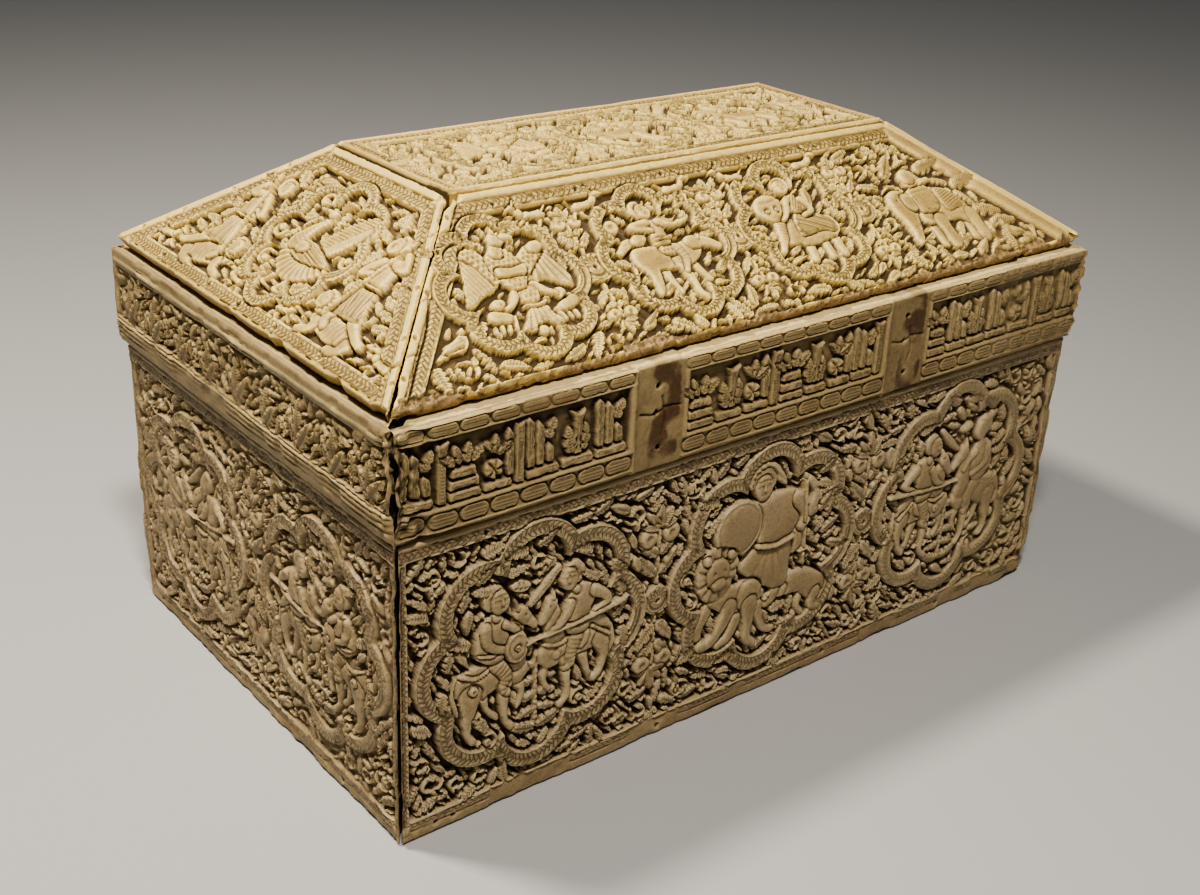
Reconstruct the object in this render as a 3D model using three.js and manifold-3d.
// Reliquary casket: a box of carved ivory plates under a hipped lid that lifts off.
// Millimetres, +Z up. The origin is the centre of the underside, +X runs along the
// long side and the main front faces -Y.
//
// Every plate is drawn flat: u to the right and v upwards as seen from outside the
// casket, and depth outwards, with 0 at the face of the plate.
import * as THREE from 'three';
import { mergeVertices } from 'three/addons/utils/BufferGeometryUtils.js';
import Module from 'manifold-3d';

const wasm = await Module();
wasm.setup();

// ---- driving dimensions -----------------------------------------------------------
const SEAM = 0.4; // open seam between neighbouring plates
const BODY = { halfLength: 189, halfWidth: 114.5, base: 0, height: 130, wall: 11 };
const FLOOR_THICKNESS = 9;
const FRIEZE = { halfLength: 192, halfWidth: 117, base: 131, height: 44.5, wall: 11 };
const ROOF = { halfLength: 190, halfWidth: 112.5, eave: 181, ridge: 229, plate: 6 };
const TOP = { halfLength: 120, halfWidth: 42, height: 229.5, plate: 7 };
const BURY = 0.6; // how far raised carving is sunk into the ground that carries it
const LOBES = 8; // lobes round every medallion

const BODY_CARVING = { ground: -4.6, band: 7, radius: 53, border: 9, edge: 6 };
const FRIEZE_CARVING = { ground: -4.6, low: 12, high: 37.5, edge: 8 };
const ROOF_CARVING = { ground: -3.4, band: 5.5, radius: 33, low: 6, strip: 10, hip: 11 };
const TOP_CARVING = { ground: -3, band: 5, radius: 28, border: 8 };

// ---- materials ----------------------------------------------------------------------
const bodyIvory = ivory(0xb39a72, 0.62);
const friezeIvory = ivory(0xb8a078, 0.58);
const lidIvory = ivory(0xd9c49a, 0.5);

function ivory(color, roughness) {
  return new THREE.MeshStandardMaterial({ color, roughness, metalness: 0 });
}

// ---- solids ---------------------------------------------------------------------------
function toSolid(geometry) {
  const bare = geometry.clone();
  bare.deleteAttribute('normal');
  bare.deleteAttribute('uv');
  const merged = mergeVertices(bare, 1e-5);
  return new wasm.Manifold(new wasm.Mesh({
    numProp: 3,
    vertProperties: new Float32Array(merged.attributes.position.array),
    triVerts: new Uint32Array(merged.index.array),
  }));
}

function toGeometry(solid) {
  const mesh = solid.getMesh();
  const geometry = new THREE.BufferGeometry();
  geometry.setAttribute('position', new THREE.BufferAttribute(mesh.vertProperties, 3));
  geometry.setIndex(new THREE.BufferAttribute(mesh.triVerts, 1));
  geometry.computeVertexNormals();
  return geometry;
}

function prismGeometry(outline, low, high, hole) {
  const shape = new THREE.Shape(outline);
  if (hole) shape.holes.push(new THREE.Path(hole));
  const geometry = new THREE.ExtrudeGeometry(shape, { depth: high - low, bevelEnabled: false });
  return geometry.translate(0, 0, low);
}

function prism(outline, low, high, hole) {
  return toSolid(prismGeometry(outline, low, high, hole));
}

// ---- outlines ---------------------------------------------------------------------------
const at = (u, v) => new THREE.Vector2(u, v);

function rectangle(left, right, low, high) {
  return [at(left, low), at(right, low), at(right, high), at(left, high)];
}

function ellipse(u, v, across, along, turn = 0, corners = 8) {
  return Array.from({ length: corners }, (_, i) => {
    const angle = (2 * Math.PI * (i + 0.5)) / corners;
    return at(across * Math.cos(angle), along * Math.sin(angle))
      .rotateAround(at(0, 0), turn).add(at(u, v));
  });
}

// A straight limb or stroke that narrows from one end to the other.
function stroke(from, to, widthFrom, widthTo) {
  const side = to.clone().sub(from).normalize().rotateAround(at(0, 0), Math.PI / 2);
  return [
    from.clone().addScaledVector(side, -widthFrom / 2),
    to.clone().addScaledVector(side, -widthTo / 2),
    to.clone().addScaledVector(side, widthTo / 2),
    from.clone().addScaledVector(side, widthFrom / 2),
  ];
}

// A pointed leaf that springs from (u, v) in the given direction.
function leaf(u, v, length, direction, width = length * 0.42) {
  const axis = at(Math.cos(direction), Math.sin(direction));
  const side = at(-axis.y, axis.x).multiplyScalar(width / 2);
  const foot = at(u, v).addScaledVector(axis, 1.2);
  const belly = foot.clone().addScaledVector(axis, length * 0.42);
  return [foot, belly.clone().sub(side), foot.clone().addScaledVector(axis, length),
    belly.clone().add(side)];
}

// The rim of a medallion: equal lobes whose circles meet in cusps. A bite of 1 makes
// neighbouring circles just touch, and a smaller one overlaps them.
function lobedRim(u, v, radius, bite, lobes, steps) {
  const half = Math.PI / lobes;
  const reach = (bite * radius) / (bite + Math.sin(half));
  const lobe = radius - reach;
  return Array.from({ length: lobes * steps }, (_, i) => {
    const off = -half + (2 * half * (i % steps)) / steps;
    const angle = Math.floor(i / steps) * 2 * half + off;
    const far = reach * Math.cos(off) + Math.sqrt(lobe ** 2 - (reach * Math.sin(off)) ** 2);
    return at(u + far * Math.cos(angle), v + far * Math.sin(angle));
  });
}

// A closed outline given in units of the figure's height, looking to the right or left.
function figure(points, u, v, size, facing = 1) {
  return points.map(([x, y]) => at(u + facing * x * size, v + y * size));
}

// ---- figures, each in units of its own height -----------------------------------------------
const BEAST = [[-0.62, 0], [-0.5, 0], [-0.36, 0.42], [0.22, 0.42], [0.34, 0], [0.46, 0],
  [0.5, 0.5], [0.78, 0.62], [0.8, 0.76], [0.6, 1], [0.42, 0.8], [-0.4, 0.76], [-0.62, 0.56]];
const ELEPHANT = [[-0.6, 0], [-0.34, 0], [-0.3, 0.34], [0.12, 0.34], [0.16, 0], [0.42, 0],
  [0.46, 0.4], [0.62, 0.1], [0.72, 0.12], [0.66, 0.72], [0.5, 0.96], [-0.3, 1], [-0.62, 0.72]];
const RIDER = [[-0.34, 0], [0.3, 0], [0.14, 0.3], [0.3, 0.74], [0, 0.86], [-0.24, 0.7],
  [-0.14, 0.32]];
const ROBE = [[-0.3, 0], [0.3, 0], [0.17, 0.42], [0.26, 0.8], [-0.26, 0.8], [-0.17, 0.42]];
const WING = [[0, 0.1], [0.34, -0.3], [0.56, -0.26], [0.6, 0.2], [0.42, 0.5], [0.08, 0.46]];
const BIRD = [[-0.62, 0.1], [-0.2, 0.02], [0.16, 0.06], [0.3, 0.3], [0.26, 0.62], [0.44, 0.76],
  [0.24, 0.9], [0.1, 0.78], [0.06, 0.46], [-0.16, 0.4]];

// ---- motifs: lists of { outline, hole, top } -------------------------------------------------
function raise(outline, top = 0, hole = undefined) {
  return { outline, hole, top };
}

function medallion(u, v, radius, band) {
  const outer = lobedRim(u, v, radius, 0.77, LOBES, 3);
  const inner = lobedRim(u, v, radius - band, 0.93, LOBES, 2);
  return [raise(outer, -0.2, inner)];
}

function mountedRider(u, v, size, facing, mount = BEAST) {
  const seat = v + size * 0.38;
  return [
    raise(figure(mount, u, v, size * 0.56, facing), -0.7),
    raise(figure(RIDER, u, seat, size * 0.46, facing), -0.3),
    raise(ellipse(u + facing * size * 0.02, v + size * 0.87, size * 0.1, size * 0.12, 0, 6), 0),
  ];
}

function standingMan(u, v, size) {
  return [
    raise(figure(ROBE, u, v, size * 0.98), -0.4),
    raise(ellipse(u - size * 0.02, v + size * 0.9, size * 0.1, size * 0.12, 0, 7), 0),
    raise(stroke(at(u + size * 0.2, v + size * 0.7), at(u + size * 0.36, v + size * 0.62),
      size * 0.11, size * 0.08), -0.6),
    raise(stroke(at(u + size * 0.33, v + size * 0.25), at(u + size * 0.33, v + size * 0.84),
      size * 0.04, size * 0.04), -0.6),
  ];
}

function eagle(u, v, size) {
  const wings = [-1, 1].map((facing) => raise(
    figure(WING, u + facing * size * 0.1, v + size * 0.18, size * 0.78, facing), -0.5));
  return [
    ...wings,
    raise(ellipse(u, v + size * 0.16, size * 0.16, size * 0.3, 0, 8), -0.2),
    raise(ellipse(u + size * 0.04, v + size * 0.56, size * 0.12, size * 0.14, -0.4, 6), -0.2),
    raise(stroke(at(u, v - size * 0.02), at(u, v - size * 0.46), size * 0.16, size * 0.36), -0.8),
  ];
}

function peacock(u, v, size) {
  return [
    raise(ellipse(u, v, size * 0.42, size * 0.24, 0.1, 9), -0.2),
    raise(stroke(at(u - size * 0.26, v), at(u - size * 0.22, v + size * 0.52), size * 0.22,
      size * 0.12), -0.4),
    raise(ellipse(u - size * 0.24, v + size * 0.56, size * 0.1, size * 0.09, 0, 6), -0.2),
    raise(ellipse(u + size * 0.3, v + size * 0.38, size * 0.2, size * 0.36, -0.25, 8), -0.5),
  ];
}

// Leaves that fan out from one point: the foliage between the medallions.
function spray(u, v, length, directions, top = -0.9) {
  return directions.map((direction) => raise(leaf(u, v, length, direction), top));
}

// The leaves that fill a cusp-shaped space between two medallions.
function palmette(u, v, length, up) {
  return spray(u, v, length, [0.4, 1.6, 2.75].map((angle) => angle * up));
}

// A row of upright strokes, feet joined by a line: the place of the inscription.
function strokeRow(left, right, low, high, count, phase) {
  const pitch = (right - left) / count;
  const uprights = Array.from({ length: count }, (_, i) => {
    const u = left + pitch * (i + 0.5);
    const tall = 0.62 + 0.38 * Math.abs(Math.sin(2.4 * i + phase));
    const lean = 0.9 * Math.sin(1.7 * i + phase);
    return raise(stroke(at(u, low), at(u + lean, low + (high - low) * tall), pitch * 0.5,
      pitch * 0.34), -1);
  });
  return [...uprights, raise(rectangle(left + 1, right - 1, low - 0.5, low + 4), -1.3)];
}

// ---- carved plates --------------------------------------------------------------------------
function carvedPlate({ outline, thickness, ground, fields, motifs, clip, losses = [] }) {
  let solid = prism(outline, -thickness, 0);
  for (const field of fields) solid = solid.subtract(prism(field, ground, 1));
  for (const { outline: edge, top, hole } of motifs) {
    solid = solid.add(prism(edge, ground - BURY, top, hole));
  }
  for (const loss of losses) solid = solid.subtract(prism(loss, -thickness - 1, 1));
  return toGeometry(solid.intersect(clip));
}

// The upright wedge that a plate must stay inside, so that its ends meet its
// neighbours on the mitre. Plan points are (half length, distance from the centre).
function mitreClip(outer, inner, placing) {
  const run = inner.clone().sub(outer);
  const start = outer.clone().addScaledVector(run, -0.4).sub(at(SEAM * 0.7, 0));
  const end = inner.clone().sub(at(SEAM * 0.7, 0));
  const plan = [at(-start.x, -start.y), at(start.x, -start.y), at(end.x, -end.y),
    at(-end.x, -end.y)];
  const geometry = prismGeometry(plan, -20, 300);
  return toSolid(geometry.applyMatrix4(placing.clone().invert()));
}

const casket = new THREE.Group();

// The four sides in turn. yaw turns the side's own frame, whose outside faces -Y.
const SIDES = [
  { name: 'front', yaw: 0, long: true },
  { name: 'right', yaw: Math.PI / 2, long: false },
  { name: 'back', yaw: Math.PI, long: true },
  { name: 'left', yaw: -Math.PI / 2, long: false },
];

function addPlate(side, name, material, tilt, distance, height, build) {
  const turned = new THREE.Group();
  turned.rotation.z = side.yaw;
  const mesh = new THREE.Mesh(undefined, material);
  mesh.name = name;
  mesh.rotation.x = tilt;
  mesh.position.set(0, -distance, height);
  mesh.updateMatrix();
  mesh.geometry = build(mesh.matrix);
  turned.add(mesh);
  casket.add(turned);
}

function spans(size, side) {
  const half = side.long ? size.halfLength : size.halfWidth;
  const distance = side.long ? size.halfWidth : size.halfLength;
  return { half, distance };
}

// ---- box ---------------------------------------------------------------------------------------
const bodyMiddle = BODY.height / 2 + 2.4;

function bodyMotifs(side) {
  const { band, radius } = BODY_CARVING;
  const full = side.name === 'front' || side.name === 'left';
  const rim = (u) => medallion(u, bodyMiddle, radius, band);
  const foot = bodyMiddle - 30;
  if (side.long) {
    const pitch = 122;
    const centres = [-pitch - 3, -3, pitch - 3];
    const motifs = centres.flatMap(rim);
    const middle = side.name === 'front'
      ? [...standingMan(-3, foot - 4, 76),
        raise(ellipse(-24, bodyMiddle + 17, 14, 13, 0, 10), 0),
        raise(figure(BEAST, -20, foot - 4, 32, -1), -0.5),
        raise(figure(BEAST, 18, foot - 4, 22, 1), -0.9)]
      : [...mountedRider(-3, foot, 66, 1)];
    motifs.push(...middle);
    for (const u of [centres[0], centres[2]]) {
      const pair = full ? [[-17, 58, 1], [17, 58, -1]] : [[0, 64, u > 0 ? -1 : 1]];
      motifs.push(...pair.flatMap(([off, size, facing]) =>
        mountedRider(u + off, foot + 4, size, facing)));
    }
    for (const u of [centres[0] + pitch / 2, centres[1] + pitch / 2]) {
      motifs.push(...palmette(u, bodyMiddle + 26, 18, 1));
      motifs.push(...palmette(u, bodyMiddle - 24, 18, -1));
      motifs.push(raise(ellipse(u, bodyMiddle, 9, 12, 0, 8), -0.4));
    }
    for (const end of full ? [-1, 1] : []) {
      const u = end * (BODY.halfLength - 17);
      motifs.push(...palmette(u, bodyMiddle + 34, 14, 1));
      motifs.push(...palmette(u, bodyMiddle - 34, 14, -1));
    }
    return motifs;
  }
  const pitch = 112;
  const motifs = [-pitch / 2, pitch / 2].flatMap((u) => [
    ...rim(u), ...mountedRider(u, foot, 62, u < 0 ? 1 : -1)]);
  motifs.push(...palmette(0, bodyMiddle + 26, 18, 1));
  motifs.push(...palmette(0, bodyMiddle - 24, 18, -1));
  return motifs;
}

for (const side of SIDES) {
  const { half, distance } = spans(BODY, side);
  const { ground, border, edge } = BODY_CARVING;
  const losses = side.name === 'front'
    ? [[at(half - 7, -1), at(half + 4, -1), at(half + 4, 9), at(half - 2, 6)]] : [];
  addPlate(side, `body_${side.name}_panel`, bodyIvory, Math.PI / 2, distance, BODY.base,
    (placing) => carvedPlate({
      outline: rectangle(-half, half, 0, BODY.height),
      thickness: BODY.wall,
      ground,
      fields: [rectangle(-half + edge, half - edge, border, BODY.height - border)],
      motifs: bodyMotifs(side),
      losses,
      clip: mitreClip(at(half, distance), at(half - BODY.wall, distance - BODY.wall), placing),
    }));
}

function addFloor() {
  const inset = BODY.wall + SEAM;
  const x = BODY.halfLength - inset;
  const y = BODY.halfWidth - inset;
  const floor = new THREE.Mesh(
    prismGeometry(rectangle(-x, x, -y, y), 0, FLOOR_THICKNESS), bodyIvory);
  floor.name = 'body_floor';
  floor.geometry = toGeometry(toSolid(floor.geometry));
  casket.add(floor);
}
addFloor();

// ---- upright frieze of the lid, with the inscription band ----------------------------------------
const STRAP_PLACES = [-72.5, 67.5]; // bare patches left by two lost metal straps
const STRAP_HALF = 12.5;

for (const side of SIDES) {
  const { half, distance } = spans(FRIEZE, side);
  const { ground, low, high, edge } = FRIEZE_CARVING;
  const bars = side.long ? STRAP_PLACES : [];
  const pitch = side.name === 'front' || side.name === 'left' ? 19 : 26;
  const ends = [-half + edge, ...bars.flatMap((u) => [u - STRAP_HALF, u + STRAP_HALF]), half - edge];
  const stretches = ends.flatMap((end, i) => (i % 2 ? [] : [[end, ends[i + 1]]]));
  const strokes = stretches.flatMap(([left, right], i) =>
    strokeRow(left + 2, right - 2, low + 1.5, high - 1.5, Math.round((right - left) / pitch), i));
  addPlate(side, `lid_frieze_${side.name}`, friezeIvory, Math.PI / 2, distance, FRIEZE.base,
    (placing) => carvedPlate({
      outline: rectangle(-half, half, 0, FRIEZE.height),
      thickness: FRIEZE.wall,
      ground,
      fields: stretches.map(([left, right]) => rectangle(left, right, low, high)),
      motifs: strokes,
      clip: mitreClip(at(half, distance), at(half - FRIEZE.wall, distance - FRIEZE.wall), placing),
    }));
}

// ---- sloping plates of the lid --------------------------------------------------------------------
function roofMotifs(side, slope) {
  const { band, radius } = ROOF_CARVING;
  const middle = slope * 0.47;
  const foot = middle - 20;
  const shown = side.name === 'front' || side.name === 'left';
  if (side.long) {
    const pitch = 74.5;
    const centres = side.name === 'front' ? [-1.53, -0.53, 0.46] : [-1, 0, 1];
    const [a, b, c] = centres.map((n) => n * pitch);
    const motifs = [a, b, c].flatMap((u) => medallion(u, middle, radius, band));
    if (side.name === 'front') {
      motifs.push(...eagle(a, middle - 2, 36), ...mountedRider(b, foot, 44, 1));
      motifs.push(...mountedRider(c - 6, foot, 42, -1, ELEPHANT));
      motifs.push(raise(figure(ELEPHANT, c + 82, 12, 46, -1), -0.6));
      motifs.push(...spray(a - 34, 12, 13, [0.2, 1.2, 2.2, 2.9]));
    } else {
      motifs.push(...mountedRider(a, foot, 42, 1), ...eagle(b, middle - 2, 34));
      motifs.push(...mountedRider(c, foot, 42, -1), ...spray(-120, 12, 15, [0.3, 1.5, 2.8]));
      motifs.push(...spray(120, 12, 15, [0.3, 1.5, 2.8]));
    }
    for (const u of [(a + b) / 2, (b + c) / 2]) {
      motifs.push(...palmette(u, middle + 17, 13, 1));
      motifs.push(...palmette(u, middle - 17, 13, -1));
    }
    return motifs;
  }
  const motifs = medallion(0, middle, radius + 1, band);
  motifs.push(...peacock(-1, middle - 6, 38));
  if (shown) {
    motifs.push(...mountedRider(-53, 10, 52, 1), ...mountedRider(53, 10, 52, -1));
  } else {
    motifs.push(...spray(-56, 12, 20, [0.2, 1, 1.9, 2.8]), ...spray(56, 12, 20, [0.3, 1.2, 2.1, 2.9]));
  }
  return motifs;
}

// The sunk field of a sloping plate, parallel to its edges.
function roofField(half, topHalf, slope) {
  const { low, strip, hip } = ROOF_CARVING;
  const lean = (half - topHalf) / slope;
  const across = hip * Math.hypot(1, lean);
  const halfAt = (v) => half - lean * v - across;
  const high = slope - strip;
  return [at(-halfAt(low), low), at(halfAt(low), low), at(halfAt(high), high),
    at(-halfAt(high), high)];
}

for (const side of SIDES) {
  const { half, distance } = spans(ROOF, side);
  const top = spans(TOP, side);
  const rise = ROOF.ridge - ROOF.eave;
  const run = distance - top.distance;
  const slope = Math.hypot(rise, run);
  // The left plate has lost a bite of its lower border, and the front one its near corner.
  const losses = {
    front: [[at(-half - 4, -1), at(-half + 18, -1), at(-half + 9, 3.5), at(-half - 4, 4)]],
    left: [[at(14, -1), at(46, -1), at(44, 2.2), at(20, 2.8)]],
  }[side.name] ?? [];
  addPlate(side, `lid_slope_${side.name}`, lidIvory, Math.atan2(rise, run), distance, ROOF.eave,
    (placing) => carvedPlate({
      outline: rectangle(-half - 2, half + 2, 0, slope + 8),
      thickness: ROOF.plate,
      ground: ROOF_CARVING.ground,
      fields: [roofField(half, top.half, slope)],
      motifs: roofMotifs(side, slope),
      losses,
      clip: mitreClip(at(half, distance), at(top.half, top.distance + SEAM), placing),
    }));
}

// ---- flat top plate ---------------------------------------------------------------------------------
function addTop() {
  const { ground, band, radius, border } = TOP_CARVING;
  const { halfLength, halfWidth } = TOP;
  const motifs = [-65, 0, 65].flatMap((u, i) => [
    ...medallion(u, 0, radius, band),
    raise(figure(i === 1 ? BIRD : BEAST, u, -12, i === 1 ? 25 : 22, i === 2 ? -1 : 1), -0.4)]);
  for (const u of [-32.5, 32.5]) {
    motifs.push(...palmette(u, 13, 12, 1), ...palmette(u, -13, 12, -1));
  }
  const plate = new THREE.Mesh(carvedPlate({
    outline: rectangle(-halfLength, halfLength, -halfWidth, halfWidth),
    thickness: TOP.plate,
    ground,
    fields: [rectangle(-halfLength + border, halfLength - border, -halfWidth + border,
      halfWidth - border)],
    motifs,
    clip: prism(rectangle(-halfLength, halfLength, -halfWidth, halfWidth), -TOP.plate - 1, 1),
  }), lidIvory);
  plate.name = 'lid_top_panel';
  plate.position.z = TOP.height;
  casket.add(plate);
}
addTop();

export default casket;
